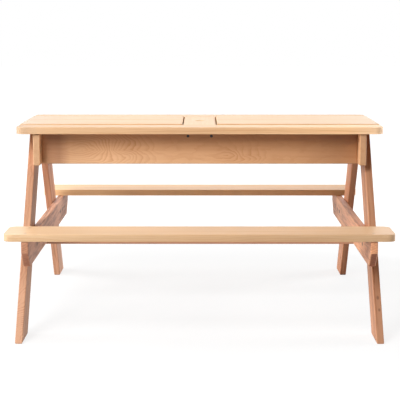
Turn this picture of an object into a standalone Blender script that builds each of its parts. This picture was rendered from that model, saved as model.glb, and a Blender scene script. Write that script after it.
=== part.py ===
"""Child's picnic table with a sandbox under three lift-off lids.

Metres, +Z up. The origin is on the ground under the middle of the table. X runs along the
benches, -Y is the front, and -X is the left end.
"""
import math

import bmesh
import bpy
from mathutils import Vector

# Boards
BOARD = 0.0205                  # thickness of every planed board
BOARD_WIDTH = 0.095             # width of the aprons, end panels and fixed top boards
EDGE_ROUND = 0.0028             # rounding along the edges of the boards
TOUCH_GAP = 0.0003              # gap between two faces that touch

# Tabletop
TABLE_LENGTH = 1.100
TABLE_DEPTH = 0.520
TABLE_HEIGHT = 0.587            # of the fixed boards and the centre lid
LID_RISE = 0.0024               # of the side lids above them
TABLE_CORNER = 0.023            # corner radius in plan
TABLE_OVERHANG = 0.0293         # of the tabletop past the outer face of the legs
LID_SLACK = 0.0016              # gap between a lid and the fixed board beside it
LID_JOINT = 0.0008              # seam between the two boards of a side lid
CENTRE_LID_WIDTH = 0.100
CENTRE_LID_SLACK = 0.0030       # gap on each side of the centre lid
FINGER_HOLE_RADIUS = 0.014
BATTEN_THICKNESS = 0.016
BATTEN_WIDTH = 0.045
BATTEN_END_INSET = 0.010        # from the edge of the lid to the end of a batten
BATTEN_INSET = 0.055            # from the end of the sandbox bay to the batten

# Benches
BENCH_OVERHANG = 0.0290         # of a bench past the outer face of the legs
BENCH_DEPTH = 0.148
BENCH_HEIGHT = 0.3115
BENCH_REACH = 0.5535            # from the middle of the table to a bench's outer edge
BENCH_CORNER = 0.022

# Legs and crossbeams
LEG_WIDTH = 0.097               # across the board, square to its lean
FOOT_REACH = 0.5605             # from the middle of the table to a foot's outer edge
LEG_TOP_REACH = 0.1475          # from the middle of the table to the same edge at the leg's top
CROSSBEAM_HEIGHT = 0.079
CROSSBEAM_SETBACK = 0.003       # from the bench's outer edge
CROSSBEAM_CUT = 0.046           # height and length of the cut-off lower corner
STRETCHER_WIDTH = 0.077         # of the flat board under both crossbeams
STRETCHER_THICKNESS = 0.016

# Sandbox
PANEL_SETBACK = 0.008           # from the edge of the tabletop to the end of the end panel
APRON_SETBACK = 0.057           # from the edge of the tabletop to the apron's outer face
RAIL_WIDTH = 0.046
RAIL_PLACE = 0.0355             # from the middle of the table to the middle of a rail
CLEAT_SIZE = 0.016
FLOOR_THICKNESS = 0.009
FLOOR_SLACK = 0.0012

# Screws
SCREW_RADIUS = 0.0021
SCREW_HEAD_RADIUS = 0.0045
SCREW_HEAD_HEIGHT = 0.0026
SCREW_HEAD_RIM = 0.0004
SCREW_SINK = 0.0003             # of the head below the wood
LONG_SCREW = 0.045              # into the edge or the end of a board
SHORT_SCREW = 0.035             # through one board into the next, flat on flat
SCREW_POINT = 0.006
SCREW_SLACK = 0.0004            # round a screw in its hole
RECESS_WIDTH = 0.0012
RECESS_REACH = 0.0046
RECESS_DEPTH = 0.0014
BENCH_SCREW_OUTER = 0.025       # from the bench's outer edge
BENCH_SCREW_INNER = 0.027       # from the bench's inner edge
CROSSBEAM_SCREW_SPACING = 0.056 # between the two screws of a crossbeam and a leg
PANEL_SCREW_LOWER = 0.036       # from the bottom of the end panel to its lower screws
PANEL_SCREW_RISE = 0.040        # from a lower screw to the upper one

# Fineness
WELD = 0.00001
OVERRUN = 0.004                 # of a cutter past the face that it enters by
EDGE_STEPS = 2
CORNER_STEPS = 6
TURN_STEPS = 12
HOLE_STEPS = 24
BEVEL_ANGLE = math.radians(35)
SMOOTH_ANGLE = math.radians(32)
QUARTER_TURN = math.pi / 2
FULL_TURN = 2 * math.pi
SIDES = {"left": -1, "right": 1}
ENDS = {"front": -1, "rear": 1}

# Heights and places that follow from the sizes above
TOP_UNDERSIDE = TABLE_HEIGHT - BOARD
BOX_TOP = TOP_UNDERSIDE - TOUCH_GAP
BOX_BOTTOM = BOX_TOP - BOARD_WIDTH
BENCH_UNDERSIDE = BENCH_HEIGHT - BOARD
CROSSBEAM_TOP = BENCH_UNDERSIDE - TOUCH_GAP
CROSSBEAM_BOTTOM = CROSSBEAM_TOP - CROSSBEAM_HEIGHT
CROSSBEAM_MIDDLE = (CROSSBEAM_TOP + CROSSBEAM_BOTTOM) / 2
LEG_OUTSIDE = TABLE_LENGTH / 2 - TABLE_OVERHANG
LEG_INSIDE = LEG_OUTSIDE - BOARD
INNER_OUTSIDE = LEG_INSIDE - TOUCH_GAP
INNER_INSIDE = INNER_OUTSIDE - BOARD
BOX_HALF_LENGTH = INNER_INSIDE - TOUCH_GAP
TABLE_HALF_LENGTH = TABLE_LENGTH / 2
TABLE_HALF_DEPTH = TABLE_DEPTH / 2
BENCH_HALF_LENGTH = LEG_OUTSIDE + BENCH_OVERHANG
APRON_OUTSIDE = TABLE_HALF_DEPTH - APRON_SETBACK
APRON_INSIDE = APRON_OUTSIDE - BOARD
BAY_HALF_DEPTH = TABLE_HALF_DEPTH - BOARD_WIDTH
LID_HALF_DEPTH = BAY_HALF_DEPTH - LID_SLACK
CENTRE_LID_HALF = CENTRE_LID_WIDTH / 2
SIDE_LID_START = CENTRE_LID_HALF + CENTRE_LID_SLACK
RAIL_TOP = BOX_TOP
RAIL_MIDDLE = RAIL_TOP - BOARD / 2
BATTEN_TOP = TOP_UNDERSIDE - TOUCH_GAP
LEG_SLOPE = (FOOT_REACH - LEG_TOP_REACH) / BOX_TOP
LEG_STEP = LEG_WIDTH * math.hypot(LEG_SLOPE, 1)


def clear_scene():
    for item in list(bpy.data.objects):
        bpy.data.objects.remove(item, do_unlink=True)


def new_collection(name):
    group = bpy.data.collections.new(name)
    bpy.context.scene.collection.children.link(group)
    return group


clear_scene()
PARTS = new_collection("picnic_table_with_sandbox")
CUTTERS = new_collection("cutters")

# Finishes: colour, roughness, metallic
FINISHES = {
    "pale_wood": ((0.740, 0.470, 0.270), 0.55, 0.0),
    "red_wood": ((0.560, 0.260, 0.135), 0.60, 0.0),
    "plywood": ((0.600, 0.400, 0.230), 0.70, 0.0),
    "steel": ((0.300, 0.280, 0.260), 0.40, 1.0),
}


def finish(item, kind):
    colour, roughness, metallic = FINISHES[kind]
    material = bpy.data.materials.new(item.name + "_" + kind)
    material.use_nodes = True
    shader = material.node_tree.nodes["Principled BSDF"]
    shader.inputs["Base Color"].default_value = (*colour, 1.0)
    shader.inputs["Roughness"].default_value = roughness
    shader.inputs["Metallic"].default_value = metallic
    item.data.materials.clear()
    item.data.materials.append(material)


def add_object(name, mesh, group):
    item = bpy.data.objects.new(name, mesh)
    group.objects.link(item)
    return item


def shade_round(mesh):
    mesh.shade_smooth()
    mesh.set_sharp_from_angle(angle=SMOOTH_ANGLE)


def round_edges(item):
    bevel = item.modifiers.new("rounded_edges", "BEVEL")
    bevel.width = EDGE_ROUND
    bevel.segments = EDGE_STEPS
    bevel.limit_method = "ANGLE"
    bevel.angle_limit = BEVEL_ANGLE


def evaluated_mesh(item):
    bpy.context.view_layer.update()
    view = bpy.context.evaluated_depsgraph_get()
    return bpy.data.meshes.new_from_object(item.evaluated_get(view))


def tidy_mesh(mesh):
    work = bmesh.new()
    work.from_mesh(mesh)
    bmesh.ops.remove_doubles(work, verts=work.verts, dist=WELD)
    bmesh.ops.recalc_face_normals(work, faces=work.faces)
    work.to_mesh(mesh)
    work.free()


def plank(name, low, high, kind, rounded=True):
    """A straight board between two opposite corners."""
    low = Vector(low)
    high = Vector(high)
    work = bmesh.new()
    bmesh.ops.create_cube(work, size=1)
    bmesh.ops.scale(work, vec=high - low, verts=work.verts)
    mesh = bpy.data.meshes.new(name)
    work.to_mesh(mesh)
    work.free()
    item = add_object(name, mesh, PARTS)
    item.location = (low + high) / 2
    if rounded:
        round_edges(item)
    finish(item, kind)
    return item


def shaped_board(name, outlines, thickness, location, kind, upright=False, rounded=True):
    """A board cut to an outline. The first outline is its edge, and the others are holes.

    Flat boards have the outline in X and Y. Upright ones have it in Y and Z.
    """
    curve = bpy.data.curves.new(name, "CURVE")
    curve.dimensions = "2D"
    curve.fill_mode = "BOTH"
    curve.extrude = thickness / 2
    for outline in outlines:
        spline = curve.splines.new("POLY")
        spline.points.add(len(outline) - 1)
        for point, place in zip(spline.points, outline):
            point.co = (place[0], place[1], 0, 1)
        spline.use_cyclic_u = True
    drawing = add_object(name + "_outline", curve, CUTTERS)
    mesh = evaluated_mesh(drawing)
    bpy.data.objects.remove(drawing)
    bpy.data.curves.remove(curve)
    tidy_mesh(mesh)
    mesh.name = name
    item = add_object(name, mesh, PARTS)
    if upright:
        item.rotation_euler = (QUARTER_TURN, 0, QUARTER_TURN)
    item.location = location
    if rounded:
        round_edges(item)
    finish(item, kind)
    return item


def arc(centre, radius, start, steps):
    """Points of a quarter circle, anticlockwise from the start angle."""
    points = []
    for step in range(steps + 1):
        angle = start + QUARTER_TURN * step / steps
        points.append((centre[0] + radius * math.cos(angle), centre[1] + radius * math.sin(angle)))
    return points


def circle(centre, radius, steps):
    points = []
    for step in range(steps):
        angle = FULL_TURN * step / steps
        points.append((centre[0] + radius * math.cos(angle), centre[1] + radius * math.sin(angle)))
    return points


def rounded_rectangle(low, high, corners):
    """Anticlockwise outline. The corner radii start at high X, high Y."""
    places = [(high[0], high[1], -1, -1), (low[0], high[1], 1, -1), (low[0], low[1], 1, 1), (high[0], low[1], -1, 1)]
    points = []
    for turn, (place, radius) in enumerate(zip(places, corners)):
        x, y, inward_x, inward_y = place
        if radius:
            centre = (x + inward_x * radius, y + inward_y * radius)
            points.extend(arc(centre, radius, turn * QUARTER_TURN, CORNER_STEPS))
        else:
            points.append((x, y))
    return points


def turned(name, profile, group):
    """A solid turned about Z from a profile of (radius, height), top to bottom."""
    mesh = bpy.data.meshes.new(name)
    points = [(radius, 0, height) for radius, height in profile]
    mesh.from_pydata(points, [(index, index + 1) for index in range(len(points) - 1)], [])
    item = add_object(name, mesh, group)
    screw = item.modifiers.new("turned", "SCREW")
    screw.steps = TURN_STEPS
    screw.render_steps = TURN_STEPS
    screw.use_merge_vertices = True
    screw.merge_threshold = WELD
    return item


def as_cutter(item):
    item.hide_render = True
    item.display_type = "WIRE"
    return item


def cut(boards, cutter):
    for board in boards:
        hole = board.modifiers.new(cutter.name, "BOOLEAN")
        hole.operation = "DIFFERENCE"
        hole.solver = "EXACT"
        hole.object = cutter


def group_under(name, place, items):
    """An empty on a lid's lifting axis, with the lid's pieces under it."""
    empty = bpy.data.objects.new(name, None)
    PARTS.objects.link(empty)
    empty.location = place
    for item in items:
        item.parent = empty
        item.location = item.location - empty.location


def make_leg(side, end):
    """A leaning leg between the ground and the underside of the lids."""
    outline = [
        (FOOT_REACH, 0),
        (LEG_TOP_REACH, BOX_TOP),
        (LEG_TOP_REACH - LEG_STEP, BOX_TOP),
        (FOOT_REACH - LEG_STEP, 0),
    ]
    outline = [(ENDS[end] * y, z) for y, z in outline]
    place = (SIDES[side] * (LEG_OUTSIDE - BOARD / 2), 0, 0)
    return shaped_board("leg_" + end + "_" + side, [outline], BOARD, place, "red_wood", upright=True)


def leg_centre(height):
    """Distance from the middle of the table to a leg's centre line at a height."""
    return FOOT_REACH - LEG_SLOPE * height - LEG_STEP / 2


def make_crossbeam(side):
    """The bearer that both benches stand on."""
    reach = BENCH_REACH - CROSSBEAM_SETBACK
    outline = [
        (-reach, CROSSBEAM_TOP),
        (-reach, CROSSBEAM_BOTTOM + CROSSBEAM_CUT),
        (-reach + CROSSBEAM_CUT, CROSSBEAM_BOTTOM),
        (reach - CROSSBEAM_CUT, CROSSBEAM_BOTTOM),
        (reach, CROSSBEAM_BOTTOM + CROSSBEAM_CUT),
        (reach, CROSSBEAM_TOP),
    ]
    place = (SIDES[side] * (INNER_OUTSIDE - BOARD / 2), 0, 0)
    return shaped_board("crossbeam_" + side, [outline], BOARD, place, "red_wood", upright=True)


def side_span(side, near, far):
    """The X range of a piece that lies between two distances from the middle."""
    return sorted((SIDES[side] * near, SIDES[side] * far))


def end_span(end, near, far):
    return sorted((ENDS[end] * near, ENDS[end] * far))


def make_end_panel(side):
    x0, x1 = side_span(side, INNER_INSIDE, INNER_OUTSIDE)
    reach = TABLE_HALF_DEPTH - PANEL_SETBACK
    return plank("end_panel_" + side, (x0, -reach, BOX_BOTTOM), (x1, reach, BOX_TOP), "pale_wood")


def make_apron(end):
    y0, y1 = end_span(end, APRON_INSIDE, APRON_OUTSIDE)
    low = (-BOX_HALF_LENGTH, y0, BOX_BOTTOM)
    high = (BOX_HALF_LENGTH, y1, BOX_TOP)
    return plank("apron_" + end, low, high, "pale_wood")


def make_floor_cleat(end):
    y0, y1 = end_span(end, APRON_INSIDE - TOUCH_GAP - CLEAT_SIZE, APRON_INSIDE - TOUCH_GAP)
    low = (-BOX_HALF_LENGTH, y0, BOX_BOTTOM)
    high = (BOX_HALF_LENGTH, y1, BOX_BOTTOM + CLEAT_SIZE)
    return plank("floor_cleat_" + end, low, high, "pale_wood", rounded=False)


def make_floor():
    half_length = INNER_INSIDE - FLOOR_SLACK
    half_depth = APRON_INSIDE - FLOOR_SLACK
    bottom = BOX_BOTTOM + CLEAT_SIZE + TOUCH_GAP
    high = (half_length, half_depth, bottom + FLOOR_THICKNESS)
    return plank("sandbox_floor", (-half_length, -half_depth, bottom), high, "plywood", rounded=False)


def make_rail(side):
    """A flat rail front to back, under the seam between the centre lid and a side lid."""
    x0, x1 = side_span(side, RAIL_PLACE - RAIL_WIDTH / 2, RAIL_PLACE + RAIL_WIDTH / 2)
    reach = APRON_INSIDE - TOUCH_GAP
    return plank("lid_rail_" + side, (x0, -reach, RAIL_TOP - BOARD), (x1, reach, RAIL_TOP), "pale_wood")


def make_top_board(end):
    y0, y1 = end_span(end, BAY_HALF_DEPTH, TABLE_HALF_DEPTH)
    if end == "front":
        corners = (0, 0, TABLE_CORNER, TABLE_CORNER)
    else:
        corners = (TABLE_CORNER, TABLE_CORNER, 0, 0)
    outline = rounded_rectangle((-TABLE_HALF_LENGTH, y0), (TABLE_HALF_LENGTH, y1), corners)
    place = (0, 0, TABLE_HEIGHT - BOARD / 2)
    return shaped_board("top_board_" + end, [outline], BOARD, place, "pale_wood")


def make_side_lid(side):
    """Two boards on two battens, which fit between the fixed top boards and stand a little above them."""
    name = "lid_" + side
    pieces = []
    x0, x1 = side_span(side, SIDE_LID_START, TABLE_HALF_LENGTH)
    for end in ENDS:
        y0, y1 = end_span(end, LID_JOINT / 2, LID_HALF_DEPTH)
        low = (x0, y0, TOP_UNDERSIDE)
        high = (x1, y1, TABLE_HEIGHT + LID_RISE)
        pieces.append(plank(name + "_board_" + end, low, high, "pale_wood"))
    reach = LID_HALF_DEPTH - BATTEN_END_INSET
    inner = RAIL_PLACE + RAIL_WIDTH / 2 + BATTEN_INSET
    outer = INNER_INSIDE - BATTEN_INSET - BATTEN_WIDTH
    for word, start in (("inner", inner), ("outer", outer)):
        b0, b1 = side_span(side, start, start + BATTEN_WIDTH)
        low = (b0, -reach, BATTEN_TOP - BATTEN_THICKNESS)
        high = (b1, reach, BATTEN_TOP)
        pieces.append(plank(name + "_batten_" + word, low, high, "pale_wood", rounded=False))
    middle = SIDES[side] * (SIDE_LID_START + TABLE_HALF_LENGTH) / 2
    group_under(name + "_lift", Vector((middle, 0, TOP_UNDERSIDE)), pieces)


def make_centre_lid():
    low = (-CENTRE_LID_HALF, -LID_HALF_DEPTH)
    high = (CENTRE_LID_HALF, LID_HALF_DEPTH)
    edge = rounded_rectangle(low, high, (0, 0, 0, 0))
    hole = circle((0, 0), FINGER_HOLE_RADIUS, HOLE_STEPS)
    place = Vector((0, 0, TABLE_HEIGHT - BOARD / 2))
    lid = shaped_board("lid_centre", [edge, hole], BOARD, place, "pale_wood")
    group_under("lid_centre_lift", Vector((0, 0, TOP_UNDERSIDE)), [lid])


def make_bench(end):
    y0, y1 = end_span(end, BENCH_REACH - BENCH_DEPTH, BENCH_REACH)
    half = BENCH_HALF_LENGTH
    outline = rounded_rectangle((-half, y0), (half, y1), (BENCH_CORNER,) * 4)
    place = (0, 0, BENCH_HEIGHT - BOARD / 2)
    return shaped_board("bench_" + end, [outline], BOARD, place, "pale_wood")


def make_stretcher():
    """A flat board under both crossbeams, along the middle of the table."""
    top = CROSSBEAM_BOTTOM - TOUCH_GAP
    low = (-INNER_OUTSIDE, -STRETCHER_WIDTH / 2, top - STRETCHER_THICKNESS)
    return plank("stretcher", low, (INNER_OUTSIDE, STRETCHER_WIDTH / 2, top), "red_wood")


def screw_mesh(length):
    """A countersunk screw with a cross recess, along Z, with the wood's face at zero."""
    top = -SCREW_SINK
    neck = top - SCREW_HEAD_RIM - SCREW_HEAD_HEIGHT
    profile = [
        (0, top),
        (SCREW_HEAD_RADIUS, top),
        (SCREW_HEAD_RADIUS, top - SCREW_HEAD_RIM),
        (SCREW_RADIUS, neck),
        (SCREW_RADIUS, SCREW_POINT - length),
        (0, -length),
    ]
    screw = turned("screw_pattern", profile, CUTTERS)
    bars = []
    for word, reach in (("x", (RECESS_REACH, RECESS_WIDTH)), ("y", (RECESS_WIDTH, RECESS_REACH))):
        work = bmesh.new()
        bmesh.ops.create_cube(work, size=1)
        bmesh.ops.scale(work, vec=(*reach, 2 * RECESS_DEPTH), verts=work.verts)
        bmesh.ops.translate(work, vec=(0, 0, top), verts=work.verts)
        mesh = bpy.data.meshes.new("recess_" + word)
        work.to_mesh(mesh)
        work.free()
        bars.append(add_object("recess_" + word, mesh, CUTTERS))
        cut([screw], bars[-1])
    mesh = evaluated_mesh(screw)
    bpy.data.objects.remove(screw)
    for bar in bars:
        bpy.data.objects.remove(bar)
    tidy_mesh(mesh)
    shade_round(mesh)
    return mesh


def add_screw(name, length, place, rotation, boards):
    """A screw through the first board into the second, with its hole in both."""
    item = add_object(name, SCREW_MESHES[length].copy(), PARTS)
    item.location = place
    item.rotation_euler = rotation
    finish(item, "steel")
    head = SCREW_HEAD_RADIUS + SCREW_SLACK
    radius = SCREW_RADIUS + SCREW_SLACK
    rim = -SCREW_SINK - SCREW_HEAD_RIM
    depth = length + SCREW_SLACK
    profile = [
        (0, OVERRUN),
        (head, OVERRUN),
        (head, rim),
        (radius, rim - SCREW_HEAD_HEIGHT),
        (radius, -depth),
        (0, -depth),
    ]
    hole = turned(name + "_hole", profile, CUTTERS)
    hole.location = place
    hole.rotation_euler = rotation
    cut(boards, as_cutter(hole))


def fasten_legs(legs, crossbeams, panels):
    """Two screws into each leg from the crossbeam, and two from the end panel."""
    for side, outward in SIDES.items():
        x = outward * INNER_INSIDE
        rotation = (0, -outward * QUARTER_TURN, 0)
        for end, sign in ENDS.items():
            leg = legs[end, side]
            name = end + "_" + side
            for word, step in (("outer", 1), ("inner", -1)):
                y = sign * (leg_centre(CROSSBEAM_MIDDLE) + step * CROSSBEAM_SCREW_SPACING / 2)
                boards = [crossbeams[side], leg]
                place = (x, y, CROSSBEAM_MIDDLE)
                add_screw("crossbeam_screw_" + name + "_" + word, SHORT_SCREW, place, rotation, boards)
            for word, rise in (("lower", 0), ("upper", PANEL_SCREW_RISE)):
                z = BOX_BOTTOM + PANEL_SCREW_LOWER + rise
                boards = [panels[side], leg]
                place = (x, sign * leg_centre(z), z)
                add_screw("panel_screw_" + name + "_" + word, SHORT_SCREW, place, rotation, boards)


def fasten_benches(benches, crossbeams):
    outer = BENCH_REACH - BENCH_SCREW_OUTER
    inner = BENCH_REACH - BENCH_DEPTH + BENCH_SCREW_INNER
    for side, outward in SIDES.items():
        x = outward * (INNER_OUTSIDE - BOARD / 2)
        for end, sign in ENDS.items():
            for word, reach in (("outer", outer), ("inner", inner)):
                name = "bench_screw_" + end + "_" + side + "_" + word
                place = (x, sign * reach, BENCH_HEIGHT)
                add_screw(name, LONG_SCREW, place, (0, 0, 0), [benches[end], crossbeams[side]])


def fasten_rails(aprons, rails):
    for side, outward in SIDES.items():
        for end, sign in ENDS.items():
            place = (outward * RAIL_PLACE, sign * APRON_OUTSIDE, RAIL_MIDDLE)
            rotation = (-sign * QUARTER_TURN, 0, 0)
            name = "rail_screw_" + end + "_" + side
            add_screw(name, LONG_SCREW, place, rotation, [aprons[end], rails[side]])


def build():
    legs = {(end, side): make_leg(side, end) for side in SIDES for end in ENDS}
    crossbeams = {side: make_crossbeam(side) for side in SIDES}
    panels = {side: make_end_panel(side) for side in SIDES}
    aprons = {end: make_apron(end) for end in ENDS}
    rails = {side: make_rail(side) for side in SIDES}
    benches = {end: make_bench(end) for end in ENDS}
    make_floor()
    for end in ENDS:
        make_floor_cleat(end)
        make_top_board(end)
    for side in SIDES:
        make_side_lid(side)
    make_centre_lid()
    make_stretcher()
    fasten_legs(legs, crossbeams, panels)
    fasten_benches(benches, crossbeams)
    fasten_rails(aprons, rails)


SCREW_MESHES = {length: screw_mesh(length) for length in (LONG_SCREW, SHORT_SCREW)}
build()
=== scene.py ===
"""Looks for the child's picnic table with a sandbox. Metres, +Z up, -Y is the front."""
import math
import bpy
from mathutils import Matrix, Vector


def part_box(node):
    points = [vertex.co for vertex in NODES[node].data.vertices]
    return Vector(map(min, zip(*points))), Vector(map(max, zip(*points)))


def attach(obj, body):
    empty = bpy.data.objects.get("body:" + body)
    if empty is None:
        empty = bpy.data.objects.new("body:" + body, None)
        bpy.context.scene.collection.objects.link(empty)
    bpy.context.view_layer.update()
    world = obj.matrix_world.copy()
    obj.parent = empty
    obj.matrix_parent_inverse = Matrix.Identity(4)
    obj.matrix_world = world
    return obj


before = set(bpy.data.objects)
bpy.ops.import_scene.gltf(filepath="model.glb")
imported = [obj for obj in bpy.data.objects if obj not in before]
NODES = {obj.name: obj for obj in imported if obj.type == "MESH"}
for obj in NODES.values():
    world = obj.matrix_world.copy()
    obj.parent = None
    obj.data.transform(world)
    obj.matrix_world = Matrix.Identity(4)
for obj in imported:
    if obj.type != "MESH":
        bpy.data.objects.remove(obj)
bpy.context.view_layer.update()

from types import SimpleNamespace

import bpy
from mathutils import Matrix, Vector

SIDES = {"left": -1, "right": 1}
ENDS = {"front": -1, "rear": 1}
ALONG_X = (1.0, 0.0, 0.0)
ALONG_Y = (0.0, 1.0, 0.0)
UP = (0.0, 0.0, 1.0)
PLAIN = (1.0, 1.0, 1.0)

# Camera, fitted to the photograph
CAMERA_DISTANCE = 4.172
CAMERA_HEIGHT = 0.9148
CAMERA_PITCH = 0.1388
CAMERA_LENS = 118.24
CAMERA_ASIDE = 0.0065
CAMERA_TURN = 0.0014
SENSOR_WIDTH = 36.0

# Lamps: degrees round from the front (minus is left), degrees up, distance, size, power
LAMP_TARGET = (0.0, 0.0, 0.35)
LAMPS = {
    "key": (-28.0, 45.0, 4.5, 1.6, 84.0),
    "low": (-28.0, 28.0, 4.5, 1.6, 105.0),
    "side": (-60.0, 35.0, 4.5, 1.6, 45.0),
    "left": (-98.0, 15.0, 4.0, 2.0, 115.0),
    "right": (106.0, 13.0, 4.0, 2.0, 125.0),
    "rear": (180.0, 28.0, 4.0, 3.0, 45.0),
    "over": (-130.0, 84.0, 3.3, 2.5, 26.0),
}

# The sky is white to the camera. Its strength as light on the table, and in reflections
SKY_EVEN = 0.02
SKY_GLOSS = 0.75

# The floor glows a little to the camera, more so far off, where it is plain white
FLOOR_SIZE = 40.0
FLOOR_SUBDIVISIONS = 4
FLOOR_DROP = 0.0005
FLOOR_GLOW = 0.825
FLOOR_FAR_GLOW = 1.05
FLOOR_NEAR = 1.0
FLOOR_FAR = 2.0
FLOOR_ROUGHNESS = 0.9
# How much light it gives back to the table, and the share of it that the camera sees, which makes the shadow
FLOOR_BOUNCE = 0.72
FLOOR_SHADE = 0.21

# Wood tones: early wood, late wood
PALE = ((0.660, 0.420, 0.240), (0.525, 0.280, 0.125))
RED = ((0.454, 0.214, 0.118), (0.305, 0.116, 0.052))
BEAM = ((0.500, 0.245, 0.140), (0.215, 0.082, 0.042))
PLY = ((0.700, 0.480, 0.290), (0.560, 0.350, 0.190))

# Tints of each board's wood. Besides the boards' own tone they hold painted light and shade: the apron
# darker for the shade under the top, the right end panel darker, the rear bench and the right crossbeam
# lighter, and each leg lighter or darker as light falls on it
TOP_TINT = (0.96, 0.98, 0.95)
APRON_TINT = (0.84, 0.72, 0.62)
FRONT_BENCH_TINT = (0.93, 0.93, 0.92)
REAR_BENCH_TINT = (1.22, 1.15, 1.06)
PANEL_TINTS = {"left": (0.86, 0.81, 0.79), "right": (0.83, 0.75, 0.72)}
BEAM_TINTS = {"left": (0.98, 0.94, 0.91), "right": (1.52, 1.48, 1.33)}
LEG_TINTS = {
    "leg_front_left": (1.20, 1.34, 1.42),
    "leg_front_right": (1.22, 1.27, 1.26),
    "leg_rear_left": (1.42, 1.52, 1.66),
    "leg_rear_right": (1.38, 1.33, 1.24),
}

# Painted light and shade along a board, from its left or lower end: share of its length, factor. Boards are
# lighter where more light falls on them and darker where they are shaded
# The top's front board and right lid: painted shade at the front board's left end, painted highlight towards
# the right end
TOP_ALONG = (
    (0.0, (0.84, 0.80, 0.78)), (0.06, (0.97, 0.92, 0.88)), (0.5, (0.98, 0.94, 0.92)),
    (0.8, (1.24, 1.22, 1.20)), (1.0, (1.46, 1.44, 1.40)),
)
RIGHT_LID_ALONG = ((0.0, (1.02, 1.02, 1.02)), (0.6, (1.06, 1.06, 1.06)), (1.0, (1.22, 1.22, 1.22)))
# The apron: painted shadow of the left end panel near its left end, and painted shade towards its right end
APRON_ALONG = (
    (0.0, (0.98, 0.93, 0.92)), (0.025, (0.68, 0.61, 0.59)), (0.055, (0.62, 0.56, 0.55)),
    (0.09, (0.97, 1.0, 1.05)), (0.2, (1.12, 1.19, 1.30)), (0.4, (1.02, 1.03, 1.05)),
    (0.8, (0.87, 0.82, 0.77)), (0.93, (0.63, 0.55, 0.47)), (1.0, (0.60, 0.51, 0.42)),
)
# The benches: painted light towards their left ends and painted shade towards their right ends
FRONT_BENCH_ALONG = (
    (0.0, (1.07, 1.12, 1.14)), (0.25, (1.03, 1.06, 1.07)), (0.5, (0.96, 0.96, 0.94)),
    (1.0, (0.96, 0.96, 0.95)),
)
REAR_BENCH_ALONG = (
    (0.0, (1.03, 1.11, 1.12)), (0.3, (1.02, 1.04, 1.01)), (0.5, (0.97, 0.97, 0.92)),
    (0.7, (0.95, 0.93, 0.88)), (1.0, (0.86, 0.82, 0.77)),
)
# The legs: painted light near the foot and painted shade higher up
LEG_ALONG = {
    "leg_front_right": ((0.0, (1.07, 1.09, 1.11)), (0.4, (1.02, 1.03, 1.04)), (0.7, (0.97, 0.98, 0.98))),
    "leg_rear_left": ((0.0, (1.12, 1.24, 1.34)), (0.5, (1.0, 1.0, 1.0)), (0.77, (0.85, 0.78, 0.72))),
    "leg_rear_right": ((0.0, (1.14, 1.17, 1.18)), (0.45, (1.0, 1.0, 1.0))),
}
# The same painted light and shade across a board's width: the apron's from its upper edge, the crossbeams'
# from their lower edge. The apron has painted shade under the top's overhang, darkest at its upper edge, and
# the crossbeams' upper edges are painted lighter on the left and darker on the right
APRON_ACROSS = (
    (0.0, (0.76, 0.64, 0.54)), (0.3, (0.91, 0.82, 0.71)), (0.5, (1.06, 1.03, 0.98)),
    (0.7, (1.14, 1.14, 1.15)), (1.0, (1.21, 1.28, 1.36)),
)
BEAM_ACROSS = {
    "left": ((0.0, (1.0, 1.0, 1.0)), (0.93, (1.0, 1.0, 1.0)), (0.99, (1.45, 1.54, 1.62))),
    "right": ((0.0, (1.0, 1.0, 1.0)), (0.93, (1.0, 1.0, 1.0)), (0.99, (0.66, 0.60, 0.58))),
}
# The same painted light and shade through a board's thickness, from its underside, or from its left side
# when it stands: a painted highlight along the front bench's upper edge, lighter inner sides of the end
# panels, and each leg's sides painted lighter or darker as light falls on them
BENCH_BELOW = ((0.0, (0.96, 0.96, 0.96)), (0.90, (1.0, 1.0, 1.0)), (1.0, (1.10, 1.10, 1.10)))
PANEL_BELOW = {
    "left": ((0.0, (1.0, 1.0, 1.0)), (0.84, (1.0, 1.0, 1.0)), (0.94, (1.5, 1.5, 1.45))),
    "right": ((0.0, (1.5, 1.5, 1.45)), (0.06, (1.5, 1.5, 1.45)), (0.16, (0.97, 0.95, 0.92))),
}
LEG_BELOW = {
    "leg_front_left": ((0.0, (1.0, 1.0, 1.0)), (0.86, (1.0, 1.0, 1.0)), (0.94, (0.86, 0.84, 0.80))),
    "leg_front_right": ((0.0, (1.12, 1.10, 1.08)), (0.06, (1.06, 1.06, 1.06)), (0.14, (0.79, 0.77, 0.76))),
    "leg_rear_left": ((0.0, (1.02, 1.02, 1.0)), (0.86, (1.02, 1.02, 1.0)), (0.94, (0.84, 0.84, 0.84))),
    "leg_rear_right": ((0.0, (1.30, 1.28, 1.26)), (0.06, (1.22, 1.19, 1.17)), (0.14, (0.66, 0.64, 0.62))),
}

# Painted highlight towards the ends of the top's boards: how strong it is along a board's length, from 0 to
# 1, and its paler tone
TOP_END_HIGHLIGHT = ((0.0, 0.40), (0.10, 0.0), (0.90, 0.0), (1.0, 0.40))
LID_END_HIGHLIGHT = {
    "left": ((0.0, 0.80), (0.25, 0.30), (0.6, 0.0), (1.0, 0.0)),
    "right": ((0.0, 0.0), (0.4, 0.0), (0.75, 0.30), (1.0, 0.80)),
}
END_HIGHLIGHT_TONE = (0.55, 0.42, 0.31)

# Painted shade on faces that look down, deepest on the right crossbeam's cut lower facet: the tint, and how
# far down they look
UNDER_SHADE = (0.68, 0.58, 0.52)
BEAM_UNDER_SHADES = {"left": (0.79, 0.63, 0.54), "right": (0.36, 0.22, 0.14)}
UNDER_FACING = (-0.70, -0.63)

# End grain drinks more oil and is darker: the tint, its strength, and how far a face looks along the grain
END_TINT = (0.90, 0.84, 0.78)
END_STRENGTH = 0.45
END_FACING = (0.75, 0.95)

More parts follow.
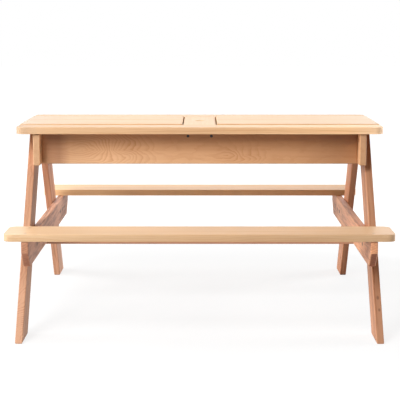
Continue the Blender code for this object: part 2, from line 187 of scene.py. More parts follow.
# Along the arrises: tint, width, strength. A painted highlight where the rounded arrises catch light, and
# the lids' seams are dark.
HIGHLIT_ARRIS = ((1.12, 1.10, 1.06), 0.0034, 0.30)
SEAM_ARRIS = ((0.97, 0.76, 0.52), 0.0050, 1.0)
ARRIS_FULL = 0.0006
ARRIS_RAGGED = 0.004

# Curly figures: place along and across the board, half length, half height, fans
APRON_FIGURES = ((-0.280, 0.006, 0.150, 0.066, 6.2), (0.120, 0.022, 0.085, 0.026, 1.9))
LEG_FIGURES = {"leg_front_left": ((-0.290, 0.0825, 0.060, 0.045, 8.4),)}
FIGURE_CONTRAST = 0.75  # added to the late wood's share
FIGURE_CALM = 0.75  # how much the straight rings give way
FIGURE_FADE = (0.50, 1.15)  # where the figure ends, in half sizes
FIGURE_CORE = 0.55  # how far the fans' centre is from the middle, in half heights
FIGURE_RISE = 3.0  # how much slower the fans open on one side
WOBBLE_SCALE = 28.0  # the noise that bends the fans
WOBBLE_TURN = 0.28

# Knots on the edge of a leg: place along it and through its thickness, size
LEG_KNOTS = {"leg_front_right": ((-0.243, 0.001, 0.0075), (-0.281, 0.003, 0.0060))}
KNOT_TONE = (0.16, 0.07, 0.04)
KNOT_STRENGTH = 0.7
SPOT_SQUASH = 1.5
# Painted shade of the countersinks round the crossbeams' screws: place along and across the board, size
BEAM_SCREW_SHADES = tuple((along, 0.0, 0.014) for along in (-0.352, -0.298, 0.298, 0.352))
SCREW_SHADE_TONE = (0.04, 0.022, 0.014)
SCREW_SHADE_STRENGTH = 0.95

# The wood's lines and clouds: stretch of the noise along, across and below a board, its detail and roughness
NOISES = {
    "Streak": ((1.3, 70.0, 70.0), 4.0, 0.62),
    "Fibre": ((14.0, 800.0, 800.0), 2.0, 0.65),
    "Mottle": ((4.0, 11.0, 11.0), 2.0, 0.5),
    "Broad": ((1.1, 26.0, 26.0), 2.0, 0.6),
    "Flake": ((9.0, 110.0, 110.0), 2.0, 0.6),
}
# The range of each noise that makes the difference, and what it adds to the late wood's share
STREAK_RANGE = (0.30, 0.72)
STREAK_SHARES = (-0.20, 0.26)
BROAD_RANGE = (0.30, 0.70)
FLAKE_RANGE = (0.32, 0.68)
FIBRE_RANGE = (0.30, 0.70)
FIBRE_SHARE = 0.07
MOTTLE_STOPS = ((0.30, 0.93), (0.70, 1.0))
# Flakes fade on end grain, down to this share
FLAKE_FACING = (0.50, 0.65)
END_FLAKES = 0.15

# Growth rings: how the pith sways across and below (stretch, scale), and how the rings waver and bunch
SWAYS = (((1.7, 0.5, 0.5), 1.0), ((2.3, 0.4, 0.4), 1.3))
WAVE_STRETCH = (9.0, 34.0, 34.0)
WAVE_DETAIL = 3.0
WAVE_ROUGHNESS = 0.55
WAVE_DEPTH = 0.007
BUNCH_SCALE = 0.45
BUNCH_DEPTH = 1.6
# The late wood within one ring, and how its darkness changes from ring to ring and along the board
LATE_STOPS = ((0.0, 0.10), (0.35, 0.16), (0.75, 0.65), (0.90, 1.0), (1.0, 0.10))
DARKNESS_SCALE = 1.7
DARKNESS_ALONG = 1.5
DARKNESS_RANGE = (0.3, 0.7)
DARKNESS_LEAST = 0.45
SEED_SHIFT_ACROSS = 0.37
SEED_SHIFT_BELOW = -0.61

# The wood's surface: roughness that is added by each thing, and the height of the grain
EARLY_ROUGHER = 0.08
LATE_ROUGHER = -0.04
FIBRE_ROUGHER = 0.05
WORN_ROUGHER = 0.12
FIBRE_ROUGH_RANGE = (0.2, 0.8)
BUMP_STRENGTH = 0.22
BUMP_DISTANCE = 0.0005
LATE_HEIGHT = 0.5
FIBRE_HEIGHT = 0.7

# What a board has unless it is given its own. Shares are of the late wood's tone.
BOARD = {
    "pith": (0.0, -0.05),  # place of the tree's pith, across and below the board's middle
    "tilt": (0.0, 0.0),  # slope of the pith, across and below
    "ring": 0.0042,  # width of a growth ring
    "wander": 0.03,  # how far the pith sways
    "contrast": 0.45,  # share that the late wood shows
    "streaks": 1.0,  # strength of the fine lines
    "stripes": 0.06,  # share of the broad stripes
    "flakes": 0.04,  # share of the short flecks
    "tint": PLAIN,
    "under_tint": UNDER_SHADE,
    "tone_along": (),
    "tone_across": (),
    "tone_below": (),
    "bleached": (),
    "figures": (),
    "knots": (),
    "stains": (),
    "arris": HIGHLIT_ARRIS,
    "roughness": 0.5,
    "shine": 0.5,
    "half": None,  # half its size along, across and below, for a board that isn't square to the axes
}
# What the boards of one kind share
TOP_LOOK = {"contrast": 0.75, "streaks": 2.2, "tint": TOP_TINT}
BENCH_LOOK = {"contrast": 0.6, "streaks": 1.5}
PANEL_LOOK = {"streaks": 1.6, "flakes": 0.30}
BEAM_LOOK = {"ring": 0.0060, "contrast": 0.7, "streaks": 1.4, "stripes": 0.20, "stains": BEAM_SCREW_SHADES}
BEAM_FLAKES = {"left": 0.65, "right": 0.48}
LEG_LOOK = {
    "ring": 0.0080, "wander": 0.012, "contrast": 0.95, "streaks": 2.2, "stripes": 0.60, "flakes": 0.12,
    "shine": 0.3,
}

# The seed of the first side board's grain, and the steps between boards, so that no two have the same grain
FIRST_SEED = 11.0
LID_STEP = 2.7
BATTEN_STEP = 1.9
PANEL_STEP = 0.8
BEAM_STEP = 4.1
LEG_START = 7.7
LEG_STEP = 3.3
CLEAT_STEP = 1.1

# The legs' outer edge at the floor and at the top, and their width
LEG_FOOT_REACH = 0.5605
LEG_TOP_REACH = 0.1475
LEG_WIDTH = 0.097

# Steel: dark tone, light tone, metallic
DARK_STEEL = ((0.020, 0.018, 0.016), (0.060, 0.050, 0.044), 0.3)
BRIGHT_STEEL = ((0.42, 0.36, 0.29), (0.58, 0.50, 0.41), 1.0)
STEEL_SCALE = 900.0
STEEL_DETAIL = 3.0
STEEL_NOISE_ROUGHNESS = 0.6
STEEL_TONE_RANGE = (0.35, 0.65)
STEEL_ROUGH_RANGE = (0.3, 0.7)
STEEL_ROUGHNESS = (0.32, 0.55)

# Screw heads that only the scene has. The shares are of the head's radius.
HEAD_RADIUS = 0.0042
HEAD_DEPTH = 0.0030
HEAD_PROUD = 0.0002
HEAD_SIDES = 24
HEAD_NECK_SHARE = 0.45
RECESS_LENGTH_SHARE = 1.15
RECESS_WIDTH_SHARE = 0.24
HEAD_SOFT_SHARE = 0.05
# Where they are: below the end panel's top, in from the floor's edge, and as shares of a length
PANEL_HEAD_DROPS = {"upper": 0.012, "lower": 0.046}
FLOOR_HEAD_INSET = 0.010
FLOOR_HEAD_SHARES = (0.12, 0.5, 0.9)
BATTEN_HEAD_SHARES = (0.22, 0.78)
STRETCHER_HEAD_SHARE = 0.55


class Graph:
    """Short calls for the shader nodes of one material or group."""

    def __init__(self, tree):
        self.tree = tree

    def node(self, kind, **settings):
        item = self.tree.nodes.new(kind)
        for name, value in settings.items():
            setattr(item, name, value)
        return item

    def put(self, socket, value):
        if isinstance(value, bpy.types.NodeSocket):
            self.tree.links.new(value, socket)
        else:
            socket.default_value = value

    def math(self, operation, a, b=0.0, clamp=False):
        item = self.node("ShaderNodeMath", operation=operation, use_clamp=clamp)
        self.put(item.inputs[0], a)
        self.put(item.inputs[1], b)
        return item.outputs[0]

    def vector(self, operation, a, b=(0.0, 0.0, 0.0), size=1.0):
        item = self.node("ShaderNodeVectorMath", operation=operation)
        self.put(item.inputs[0], a)
        self.put(item.inputs[1], b)
        if operation == "SCALE":
            self.put(item.inputs["Scale"], size)
        return item.outputs["Value" if operation in ("DOT_PRODUCT", "LENGTH") else "Vector"]

    def combine(self, x, y, z):
        item = self.node("ShaderNodeCombineXYZ")
        for socket, value in zip(item.inputs, (x, y, z)):
            self.put(socket, value)
        return item.outputs[0]

    def separate(self, value):
        item = self.node("ShaderNodeSeparateXYZ")
        self.put(item.inputs[0], value)
        return item.outputs

    def noise(self, place, scale=1.0, detail=2.0, roughness=0.5):
        item = self.node("ShaderNodeTexNoise")
        self.put(item.inputs["Vector"], place)
        self.put(item.inputs["Scale"], scale)
        self.put(item.inputs["Detail"], detail)
        self.put(item.inputs["Roughness"], roughness)
        return item.outputs["Fac"]

    def ramp(self, value, stops):
        item = self.node("ShaderNodeValToRGB")
        self.put(item.inputs[0], value)
        points = item.color_ramp.elements
        while len(points) < len(stops):
            points.new(0.5)
        for point, (place, tone) in zip(points, stops):
            point.position = place
            point.color = (*tone, 1.0) if isinstance(tone, tuple) else (tone, tone, tone, 1.0)
        return item.outputs["Color"]

    def span(self, value, low, high, to_low=0.0, to_high=1.0):
        item = self.node("ShaderNodeMapRange", clamp=True)
        for socket, number in zip(item.inputs, (value, low, high, to_low, to_high)):
            self.put(socket, number)
        return item.outputs[0]

    def mix(self, share, a, b, blend="MIX"):
        item = self.node("ShaderNodeMix", data_type="RGBA", blend_type=blend)
        self.put(item.inputs[0], share)
        for socket, value in ((item.inputs[6], a), (item.inputs[7], b)):
            self.put(socket, value if isinstance(value, bpy.types.NodeSocket) else (*value, 1.0))
        return item.outputs[2]

    def swing(self, value, size):
        """A noise turned into a change either way from its middle."""
        return self.math("MULTIPLY", self.math("SUBTRACT", value, 0.5), size)


def new_material(name):
    """A material, its graph and its shader."""
    material = bpy.data.materials.new(name)
    material.use_nodes = True
    return material, Graph(material.node_tree), material.node_tree.nodes["Principled BSDF"]


def grain_group():
    """Growth rings round a pith, with the noises, for a place that is along, across and below a board."""
    tree = bpy.data.node_groups.new("wood_grain", "ShaderNodeTree")
    tree.interface.new_socket("Place", in_out="INPUT", socket_type="NodeSocketVector")
    for name in (
        "Seed", "Pith across", "Pith below", "Tilt across", "Tilt below", "Ring width", "Wander", "Curl",
        "Calm",
    ):
        tree.interface.new_socket(name, in_out="INPUT", socket_type="NodeSocketFloat")
    for name in ("Late", *NOISES):
        tree.interface.new_socket(name, in_out="OUTPUT", socket_type="NodeSocketFloat")
    g = Graph(tree)
    given = g.node("NodeGroupInput").outputs
    out = g.node("NodeGroupOutput").inputs
    seed = given["Seed"]
    along, across, below = g.separate(given["Place"])
    shift_across = g.math("MULTIPLY", seed, SEED_SHIFT_ACROSS)
    shift_below = g.math("MULTIPLY", seed, SEED_SHIFT_BELOW)
    place = g.vector("ADD", given["Place"], g.combine(seed, shift_across, shift_below))

    offsets = []
    for word, distance, (stretch, scale) in zip(("across", "below"), (across, below), SWAYS):
        sway = g.noise(g.vector("MULTIPLY", place, stretch), scale, 1.0)
        offset = g.math("SUBTRACT", distance, given["Pith " + word])
        offset = g.math("ADD", offset, g.math("MULTIPLY", along, given["Tilt " + word]))
        offsets.append(g.math("ADD", offset, g.swing(sway, given["Wander"])))
    radius = g.vector("LENGTH", g.combine(*offsets, 0.0))
    wave = g.noise(g.vector("MULTIPLY", place, WAVE_STRETCH), 1.0, WAVE_DETAIL, WAVE_ROUGHNESS)
    radius = g.math("ADD", radius, g.swing(wave, WAVE_DEPTH))
    core = g.vector("LENGTH", g.combine(given["Pith across"], given["Pith below"], 0.0))
    rings = g.math("DIVIDE", g.math("SUBTRACT", radius, core), given["Ring width"])
    rings = g.math("MULTIPLY", rings, g.math("SUBTRACT", 1.0, given["Calm"]))
    bunch = g.noise(g.combine(g.math("MULTIPLY", rings, BUNCH_SCALE), seed, 0.0), 1.0, 1.0)
    rings = g.math("ADD", rings, g.math("MULTIPLY", bunch, BUNCH_DEPTH))
    rings = g.math("ADD", rings, given["Curl"])
    late = g.ramp(g.math("FRACT", rings), LATE_STOPS)
    which = g.combine(g.math("FLOOR", rings), seed, g.math("MULTIPLY", along, DARKNESS_ALONG))
    darkness = g.span(g.noise(which, DARKNESS_SCALE, 1.0), *DARKNESS_RANGE, DARKNESS_LEAST, 1.0)
    g.put(out["Late"], g.math("MULTIPLY", late, darkness))

    for name, (stretch, detail, roughness) in NOISES.items():
        g.put(out[name], g.noise(g.vector("MULTIPLY", place, stretch), 1.0, detail, roughness))
    return tree


GRAIN = grain_group()


def curl(g, along, across, figures):
    """Extra rings that fan out round the middle of each figure, as above a hidden knot, and their mask."""
    total = 0.0
    strength = 0.0
    for middle, height, half_length, half_height, fans in figures:
        x = g.math("SUBTRACT", along, middle)
        y = g.math("SUBTRACT", across, height)
        spot = g.combine(g.math("MULTIPLY", x, WOBBLE_SCALE), g.math("MULTIPLY", y, WOBBLE_SCALE), fans)
        wobble = g.noise(spot, 1.0, 2.0)
        away = g.math("MAXIMUM", g.math("MULTIPLY", y, -1.0), g.math("MULTIPLY", y, FIGURE_RISE))
        turn = g.math("ARCTAN2", x, g.math("ADD", away, half_height * FIGURE_CORE))
        turn = g.math("ADD", turn, g.swing(wobble, WOBBLE_TURN))
        spread = g.combine(g.math("DIVIDE", x, half_length), g.math("DIVIDE", y, half_height), 0.0)
        mask = g.span(g.vector("LENGTH", spread), *FIGURE_FADE, 1.0, 0.0)
        total = g.math("ADD", total, g.math("MULTIPLY", turn, fans))
        strength = g.math("MAXIMUM", strength, mask)
    return total, strength


def spots(g, along, aside, places):
    """How much a point is within one of the small spots at these places, from 0 to 1."""
    total = 0.0
    for middle, height, size in places:
        x = g.math("SUBTRACT", along, middle)
        y = g.math("MULTIPLY", g.math("SUBTRACT", aside, height), SPOT_SQUASH)
        spread = g.vector("LENGTH", g.combine(x, y, 0.0))
        total = g.math("MAXIMUM", total, g.span(spread, size * 0.5, size, 1.0, 0.0))
    return total


def board_place(g, node, axes, half):
    """A point's distances along, across and below a board's middle, and half the board's size each way."""
    low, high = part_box(node)
    spot = g.node("ShaderNodeTexCoord").outputs["Object"]
    local = g.vector("SUBTRACT", spot, tuple((low + high) / 2))
    distances = [g.vector("DOT_PRODUCT", local, tuple(axis)) for axis in axes]
    if half is None:
        size = (high - low) / 2
        half = tuple(sum(abs(axis[i]) * size[i] for i in range(3)) for axis in axes)
    return distances, half


def board_lines(g, distances, seed, look):
    """The grain group's outputs for one board, and the mask of its curly figures."""
    group = g.node("ShaderNodeGroup")
    group.node_tree = GRAIN
    turns, figured = curl(g, distances[0], distances[1], look.figures)
    for name, value in (
        ("Place", g.combine(*distances)),
        ("Seed", seed),
        ("Pith across", look.pith[0]),
        ("Pith below", look.pith[1]),
        ("Tilt across", look.tilt[0]),
        ("Tilt below", look.tilt[1]),
        ("Ring width", look.ring),
        ("Wander", look.wander),
        ("Curl", turns),
        ("Calm", g.math("MULTIPLY", figured, FIGURE_CALM)),
    ):
        g.put(group.inputs[name], value)
    return group.outputs, figured


def late_share(g, lines, figured, facing, look):
    """How much of the late wood's tone shows at a point, from 0 to 1."""
    contrast = g.math("ADD", g.math("MULTIPLY", figured, FIGURE_CONTRAST), look.contrast)
    streaks = [share * look.streaks for share in STREAK_SHARES]
    flakes = g.span(lines["Flake"], *FLAKE_RANGE, -look.flakes, look.flakes)
    share = g.math("MULTIPLY", lines["Late"], contrast)
    share = g.math("ADD", share, g.span(lines["Streak"], *STREAK_RANGE, *streaks))
    share = g.math("ADD", share, g.span(lines["Broad"], *BROAD_RANGE, -look.stripes, look.stripes))
    share = g.math("ADD", share, g.math("MULTIPLY", flakes, g.span(facing, *FLAKE_FACING, 1.0, END_FLAKES)))
    return g.math("ADD", share, g.span(lines["Fibre"], *FIBRE_RANGE, -FIBRE_SHARE, FIBRE_SHARE), clamp=True)


def slow_tones(g, colour, distances, half, look):
    """The colour after the painted highlight at the ends and the painted light and shade along, across and
    through a board.
    """
    # A paler tone painted towards the ends as a highlight
    if look.bleached:
        share = g.ramp(g.span(distances[0], -half[0], half[0]), look.bleached)
        colour = g.mix(share, colour, END_HIGHLIGHT_TONE)
    for distance, reach, tone in zip(distances, half, (look.tone_along, look.tone_across, look.tone_below)):
        if tone:
            # The ramp holds half of each factor, so that its colours stay below 1
            halves = [(place, tuple(factor / 2 for factor in factors)) for place, factors in tone]
            fade = g.vector("SCALE", g.ramp(g.span(distance, -reach, reach), halves), size=2.0)
            colour = g.mix(1.0, colour, fade, "MULTIPLY")
    return colour


def dark_spots(g, colour, distances, look):
    """The colour with a board's knots, and with the painted shade round its screws."""
    along, across, below = distances
    for places, aside, strength, tone in (
        (look.knots, below, KNOT_STRENGTH, KNOT_TONE),
        (look.stains, across, SCREW_SHADE_STRENGTH, SCREW_SHADE_TONE),
    ):
        if places:
            colour = g.mix(g.math("MULTIPLY", spots(g, along, aside, places), strength), colour, tone)
    return colour


def arris_share(g, distances, half, streak, width):
    """How near a point is to one of a board's long arrises, from 0 to 1, with a ragged limit."""
    gap_across = g.math("SUBTRACT", half[1], g.math("ABSOLUTE", distances[1]))
    gap_below = g.math("SUBTRACT", half[2], g.math("ABSOLUTE", distances[2]))
    gap = g.math("ADD", g.math("MAXIMUM", gap_across, gap_below), g.swing(streak, ARRIS_RAGGED))
    return g.span(gap, ARRIS_FULL, width, 1.0, 0.0)


def dress(node, material):
    item = NODES[node]
    item.data.materials.clear()
    item.data.materials.append(material)


def dress_wood(node, tones, seed, grain, face, **settings):
    """Gives a board its own wood. The grain and face are the directions of its length and its wide face."""
    look = SimpleNamespace(**{**BOARD, **settings})
    material, g, shader = new_material("wood_" + node)
    grain = Vector(grain).normalized()
    face = Vector(face).normalized()
    side = face.cross(grain).normalized()
    distances, half = board_place(g, node, (grain, side, face), look.half)
    lines, figured = board_lines(g, distances, seed, look)
    normal = g.node("ShaderNodeNewGeometry").outputs["True Normal"]
    facing = g.math("ABSOLUTE", g.vector("DOT_PRODUCT", normal, tuple(grain)))
    end = g.span(facing, *END_FACING)
    under = g.span(g.separate(normal)[2], *UNDER_FACING, 1.0, 0.0)
    arris_tint, arris_width, arris_strength = look.arris
    arris_highlight_and_wear = arris_share(g, distances, half, lines["Streak"], arris_width)

    early, late = (tuple(a * b for a, b in zip(tone, look.tint)) for tone in tones)
    colour = g.mix(late_share(g, lines, figured, facing, look), early, late)
    colour = g.mix(1.0, colour, g.ramp(lines["Mottle"], MOTTLE_STOPS), "MULTIPLY")
    colour = slow_tones(g, colour, distances, half, look)
    colour = dark_spots(g, colour, distances, look)
    # Painted highlight along the arrises, and on the lids their dark seams
    colour = g.mix(g.math("MULTIPLY", arris_highlight_and_wear, arris_strength), colour, arris_tint, "MULTIPLY")
    colour = g.mix(g.math("MULTIPLY", end, END_STRENGTH), colour, END_TINT, "MULTIPLY")
    # Painted shade on faces that look down
    colour = g.mix(under, colour, look.under_tint, "MULTIPLY")
    g.put(shader.inputs["Base Color"], colour)

    rough = g.span(lines["Late"], 0.0, 1.0, look.roughness + EARLY_ROUGHER, look.roughness + LATE_ROUGHER)
    rough = g.math("ADD", rough, g.span(lines["Fibre"], *FIBRE_ROUGH_RANGE, -FIBRE_ROUGHER, FIBRE_ROUGHER))
    rough = g.math("ADD", rough, g.math("MULTIPLY", g.math("MAXIMUM", end, arris_highlight_and_wear), WORN_ROUGHER))
    g.put(shader.inputs["Roughness"], rough)
    g.put(shader.inputs["Specular IOR Level"], look.shine)
    bump = g.node("ShaderNodeBump")
    g.put(bump.inputs["Strength"], BUMP_STRENGTH)
    g.put(bump.inputs["Distance"], BUMP_DISTANCE)
    late_height = g.math("MULTIPLY", lines["Late"], LATE_HEIGHT)
    fibre_height = g.math("MULTIPLY", lines["Fibre"], FIBRE_HEIGHT)
    g.put(bump.inputs["Height"], g.math("ADD", late_height, fibre_height))
    g.put(shader.inputs["Normal"], bump.outputs["Normal"])
    dress(node, material)


def dress_long_boards():
    """The boards that run the length of the table, the centre lid and the sandbox floor."""
    dress_wood(
        "top_board_front", PALE, 1.3, ALONG_X, UP, pith=(0.02, -0.09), tilt=(0.01, 0.03), wander=0.02,
        tone_along=TOP_ALONG, bleached=TOP_END_HIGHLIGHT, **TOP_LOOK,
    )
    dress_wood(
        "top_board_rear", PALE, 5.1, ALONG_X, UP, pith=(-0.05, -0.11), tilt=(0.0, 0.02), wander=0.02,
        **TOP_LOOK,
    )
    dress_wood(
        "bench_front", PALE, 8.2, ALONG_X, UP, pith=(0.05, -0.10), tilt=(0.01, 0.02), tint=FRONT_BENCH_TINT,
        roughness=0.38, tone_along=FRONT_BENCH_ALONG, tone_below=BENCH_BELOW, **BENCH_LOOK,
    )
    dress_wood(
        "bench_rear", PALE, 9.9, ALONG_X, UP, pith=(-0.02, -0.12), tilt=(0.0, -0.02), tint=REAR_BENCH_TINT,
        tone_along=REAR_BENCH_ALONG, **BENCH_LOOK,
    )
    dress_wood(
        "apron_front", PALE, 3.4, ALONG_X, ALONG_Y, pith=(0.0, 0.10), tilt=(0.01, 0.02), ring=0.0040,
        contrast=0.42, tint=APRON_TINT, figures=APRON_FIGURES, tone_along=APRON_ALONG,
        tone_across=APRON_ACROSS,
    )
    dress_wood("apron_rear", PALE, 6.6, ALONG_X, ALONG_Y, pith=(0.01, 0.06), tilt=(0.01, 0.03))
    dress_wood("stretcher", RED, 52.0, ALONG_X, UP, pith=(0.02, -0.05), tilt=(0.0, 0.03))
    dress_wood(
        "lid_centre", PALE, 41.0, ALONG_Y, UP, pith=(0.02, -0.09), tilt=(0.0, 0.06), wander=0.02,
        tint=TOP_TINT,
    )
    dress_wood(
        "sandbox_floor", PLY, 47.0, ALONG_X, UP, pith=(0.1, -0.30), ring=0.02, wander=0.10, contrast=0.5,
    )


def dress_leg(node, seed, side, end):
    low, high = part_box(node)
    lean = math.atan2(LEG_FOOT_REACH - LEG_TOP_REACH, high.z - low.z)
    grain = (0.0, -ENDS[end] * math.sin(lean), math.cos(lean))
    dress_wood(
        node, RED, seed, grain, ALONG_X, pith=(0.09, -0.03 * SIDES[side]), tilt=(0.01, 0.015),
        half=((high.z - low.z) / 2, LEG_WIDTH / 2, (high.x - low.x) / 2), tint=LEG_TINTS[node],
        figures=LEG_FIGURES.get(node, ()), knots=LEG_KNOTS.get(node, ()), tone_along=LEG_ALONG.get(node, ()),
        tone_below=LEG_BELOW[node], **LEG_LOOK,
    )


def dress_side(side, seed):
    """The boards of one side. Gives back the seed for the next board."""
    for end in ENDS:
        dress_wood(
            "lid_" + side + "_board_" + end, PALE, seed, ALONG_X, UP, pith=(0.03 * SIDES[side], -0.10),
            tilt=(0.0, 0.03), arris=SEAM_ARRIS, bleached=LID_END_HIGHLIGHT[side],
            tone_along=RIGHT_LID_ALONG if side == "right" else (), **TOP_LOOK,
        )
        seed += LID_STEP
    for word in ("inner", "outer"):
        dress_wood("lid_" + side + "_batten_" + word, PALE, seed, ALONG_Y, UP, pith=(0.01, -0.06))
        seed += BATTEN_STEP
    dress_wood("lid_rail_" + side, PALE, seed, ALONG_Y, UP, pith=(0.01, -0.05))
    dress_wood(
        "end_panel_" + side, PALE, seed + PANEL_STEP, ALONG_Y, ALONG_X, pith=(0.01, -0.05), tilt=(0.0, 0.03),
        tint=PANEL_TINTS[side], tone_below=PANEL_BELOW[side], **PANEL_LOOK,
    )
    dress_wood(
        "crossbeam_" + side, BEAM, seed + BEAM_STEP, ALONG_Y, ALONG_X, pith=(0.07, -0.04), tilt=(0.03, 0.02),
        tint=BEAM_TINTS[side], under_tint=BEAM_UNDER_SHADES[side], flakes=BEAM_FLAKES[side],
        tone_across=BEAM_ACROSS[side], **BEAM_LOOK,
    )
    for end in ENDS:
        dress_leg("leg_" + end + "_" + side, seed + LEG_START, side, end)
        seed += LEG_STEP
    return seed


def dress_boards():
    dress_long_boards()
    seed = FIRST_SEED
    for side in SIDES:
        seed = dress_side(side, seed)
    for end in ENDS:
        dress_wood("floor_cleat_" + end, PALE, seed, ALONG_X, UP, pith=(0.02, -0.04))
        seed += CLEAT_STEP


def steel(name, dark, light, metallic):
    material, g, shader = new_material(name)
    spot = g.node("ShaderNodeTexCoord").outputs["Object"]
    stain = g.noise(spot, STEEL_SCALE, STEEL_DETAIL, STEEL_NOISE_ROUGHNESS)
    g.put(shader.inputs["Base Color"], g.mix(g.span(stain, *STEEL_TONE_RANGE), dark, light))
    g.put(shader.inputs["Roughness"], g.span(stain, *STEEL_ROUGH_RANGE, *STEEL_ROUGHNESS))
    g.put(shader.inputs["Metallic"], metallic)
    return material


def dress_screws(dark, bright):
    """The benches' screws are bright, and the others dark."""
    for name in NODES:
        if "_screw_" in name:
            dress(name, bright if name.startswith("bench") else dark)


def screw_head_mesh():
    """A countersunk head with a cross recess. Its top is at z = 0 and faces +Z."""
    neck = HEAD_RADIUS * HEAD_NECK_SHARE
    bpy.ops.mesh.primitive_cone_add(vertices=HEAD_SIDES, radius1=neck, radius2=HEAD_RADIUS, depth=HEAD_DEPTH)
    head = bpy.context.active_object
    head.name = "screw_head"
    cutters = []
    for turn in (0.0, math.pi / 2):
        middle = (0.0, 0.0, HEAD_DEPTH / 2)
        bpy.ops.mesh.primitive_cube_add(size=1.0, location=middle, rotation=(0.0, 0.0, turn))
        cutter = bpy.context.active_object
        cutter.scale = (HEAD_RADIUS * RECESS_LENGTH_SHARE, HEAD_RADIUS * RECESS_WIDTH_SHARE, HEAD_DEPTH)
        recess = head.modifiers.new("recess", "BOOLEAN")
        recess.operation = "DIFFERENCE"
        recess.object = cutter
        cutters.append(cutter)
    soften = head.modifiers.new("soften", "BEVEL")
    soften.width = HEAD_RADIUS * HEAD_SOFT_SHARE
    soften.segments = 1
    bpy.context.view_layer.update()
    mesh = bpy.data.meshes.new_from_object(head.evaluated_get(bpy.context.evaluated_depsgraph_get()))
    mesh.transform(Matrix.Translation((0.0, 0.0, -HEAD_DEPTH / 2)))
    for item in (head, *cutters):
        bpy.data.objects.remove(item)
    return mesh


def add_head(mesh, name, place, outward, body, material):
    """One screw head, almost flush with the surface that looks outward."""
    head = bpy.data.objects.new(name, mesh.copy())
    bpy.context.scene.collection.objects.link(head)
    turn = Vector(outward).to_track_quat("Z", "Y").to_matrix().to_4x4()
    head.data.transform(Matrix.Translation(Vector(place) + Vector(outward) * HEAD_PROUD) @ turn)
    head.data.materials.clear()
    head.data.materials.append(material)
    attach(head, body)


def add_heads(material):
    """The small screws that the solid model leaves out."""
    mesh = screw_head_mesh()
    stretcher_low, stretcher_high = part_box("stretcher")
    apron_low, apron_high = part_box("apron_rear")
    apron_y = (apron_low.y + apron_high.y) / 2
    floor_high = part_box("sandbox_floor")[1]
    for side, sign in SIDES.items():
        beam_low, beam_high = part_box("crossbeam_" + side)
        panel_low, panel_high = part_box("end_panel_" + side)
        outer = panel_low.x if sign < 0 else panel_high.x
        for end, sign_y in ENDS.items():
            tag = "_" + end + "_" + side
            beam_x = (beam_low.x + beam_high.x) / 2
            place = (beam_x, sign_y * stretcher_high.y * STRETCHER_HEAD_SHARE, stretcher_low.z)
            add_head(mesh, "stretcher_head" + tag, place, (0, 0, -1), "table", material)
            for word, drop in PANEL_HEAD_DROPS.items():
                place = (outer, sign_y * apron_y, panel_high.z - drop)
                add_head(mesh, "panel_head_" + word + tag, place, (sign, 0, 0), "table", material)
            board_low, board_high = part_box("lid_" + side + "_board_" + end)
            for word in ("inner", "outer"):
                low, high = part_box("lid_" + side + "_batten_" + word)
                for count, share in enumerate(BATTEN_HEAD_SHARES, 1):
                    place = ((low.x + high.x) / 2, (1 - share) * board_low.y + share * board_high.y, low.z)
                    name = "batten_head_" + word + str(count) + tag
                    add_head(mesh, name, place, (0, 0, -1), "lid_" + side, material)
            floor_y = sign_y * (floor_high.y - FLOOR_HEAD_INSET)
            for count, share in enumerate(FLOOR_HEAD_SHARES, 1):
                place = (sign * floor_high.x * share, floor_y, floor_high.z)
                add_head(mesh, "floor_head_" + str(count) + tag, place, (0, 0, 1), "table", material)


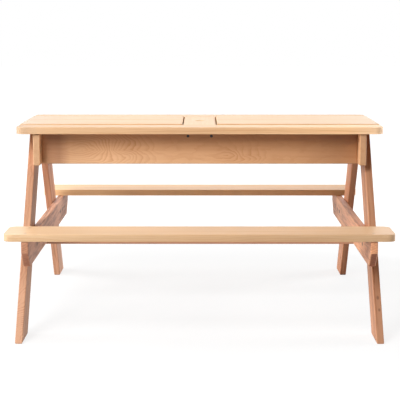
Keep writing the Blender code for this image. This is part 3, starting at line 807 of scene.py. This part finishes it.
def make_floor():
    """A pale floor that shows white to the camera, keeps part of the shadow and fades to plain white."""
    bpy.ops.mesh.primitive_grid_add(
        x_subdivisions=FLOOR_SUBDIVISIONS, y_subdivisions=FLOOR_SUBDIVISIONS, size=FLOOR_SIZE,
        location=(0.0, 0.0, -FLOOR_DROP),
    )
    floor = bpy.context.active_object
    floor.name = "floor"
    material, g, shader = new_material("floor_white")
    g.put(shader.inputs["Roughness"], FLOOR_ROUGHNESS)
    g.put(shader.inputs["Specular IOR Level"], 0.0)
    g.put(shader.inputs["Emission Color"], (*PLAIN, 1.0))
    rays = g.node("ShaderNodeLightPath").outputs
    seen = g.math("MAXIMUM", rays["Is Camera Ray"], rays["Is Glossy Ray"])
    spot = g.node("ShaderNodeTexCoord").outputs["Object"]
    away = g.vector("LENGTH", g.vector("MULTIPLY", spot, (1.0, 1.0, 0.0)))
    glow = g.span(away, FLOOR_NEAR, FLOOR_FAR, FLOOR_GLOW, FLOOR_FAR_GLOW)
    g.put(shader.inputs["Emission Strength"], g.math("MULTIPLY", seen, glow))
    tone = g.span(seen, 0.0, 1.0, FLOOR_BOUNCE, FLOOR_BOUNCE * FLOOR_SHADE)
    g.put(shader.inputs["Base Color"], g.combine(tone, tone, tone))
    floor.data.materials.append(material)


def make_sky():
    world = bpy.data.worlds.new("studio")
    bpy.context.scene.world = world
    world.use_nodes = True
    g = Graph(world.node_tree)
    sky = world.node_tree.nodes["Background"]
    g.put(sky.inputs["Color"], (*PLAIN, 1.0))
    rays = g.node("ShaderNodeLightPath").outputs
    strength = g.math("MAXIMUM", rays["Is Camera Ray"], g.math("MULTIPLY", rays["Is Glossy Ray"], SKY_GLOSS))
    g.put(sky.inputs["Strength"], g.math("MAXIMUM", strength, SKY_EVEN))


def make_lamps():
    target = Vector(LAMP_TARGET)
    for name, (turn, rise, reach, size, power) in LAMPS.items():
        turn = math.radians(turn)
        rise = math.radians(rise)
        way = Vector((math.sin(turn) * math.cos(rise), -math.cos(turn) * math.cos(rise), math.sin(rise)))
        data = bpy.data.lights.new(name, "AREA")
        data.shape = "DISK"
        data.size = size
        data.energy = power
        lamp = bpy.data.objects.new(name, data)
        bpy.context.scene.collection.objects.link(lamp)
        lamp.location = target + way * reach
        lamp.rotation_euler = (-way).to_track_quat("-Z", "Y").to_euler()


def make_camera():
    data = bpy.data.cameras.new("camera")
    data.sensor_width = SENSOR_WIDTH
    data.sensor_fit = "HORIZONTAL"
    data.lens = CAMERA_LENS
    camera = bpy.data.objects.new("camera", data)
    bpy.context.scene.collection.objects.link(camera)
    camera.location = (CAMERA_ASIDE, -CAMERA_DISTANCE, CAMERA_HEIGHT)
    camera.rotation_euler = (math.pi / 2 - CAMERA_PITCH, 0.0, CAMERA_TURN)
    bpy.context.scene.camera = camera


make_camera()
make_sky()
make_floor()
make_lamps()
dress_boards()
dark_steel = steel("screw_steel", *DARK_STEEL)
bright_steel = steel("screw_steel_bright", *BRIGHT_STEEL)
dress_screws(dark_steel, bright_steel)
add_heads(dark_steel)
bpy.context.scene.view_settings.view_transform = "Standard"
